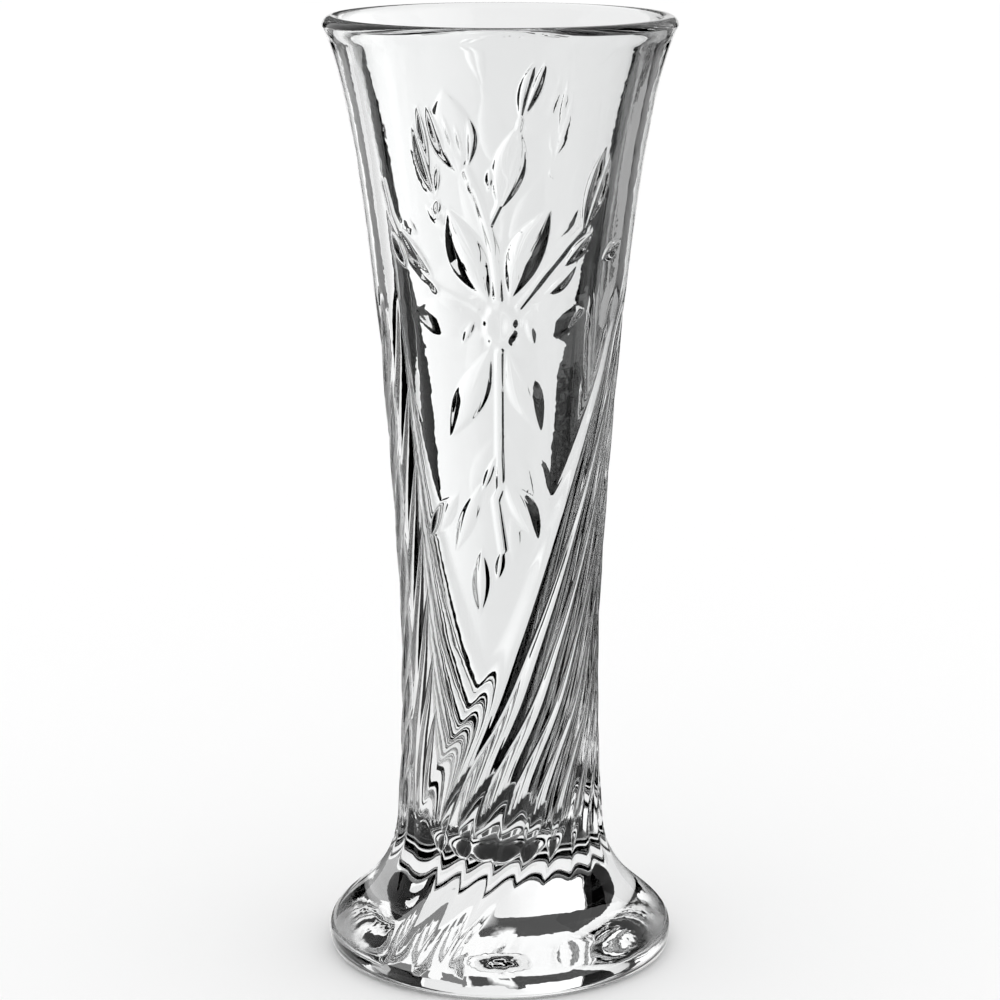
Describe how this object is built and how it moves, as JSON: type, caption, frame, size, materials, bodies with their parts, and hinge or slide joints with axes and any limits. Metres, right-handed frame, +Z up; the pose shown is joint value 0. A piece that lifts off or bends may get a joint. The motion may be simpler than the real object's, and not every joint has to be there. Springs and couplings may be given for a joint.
{
  "type": "glass bud vase",
  "caption": "Slim pressed-glass bud vase with a flared mouth, a spreading foot, swirling flutes and a flower motif in relief.",
  "frame": {"origin": "centre of the base, on the plane of the ring that the vase stands on", "axes": "+Z up through the mouth, -Y towards the face with the flower panel that is seen from the front, +X to the right of that face"},
  "size_m": [0.0738, 0.0738, 0.2],
  "materials": {
    "clear_glass": "fire-polished clear pressed glass"
  },
  "bodies": {
    "root": {"vase_body": "clear_glass"}
  },
  "joints": []
}
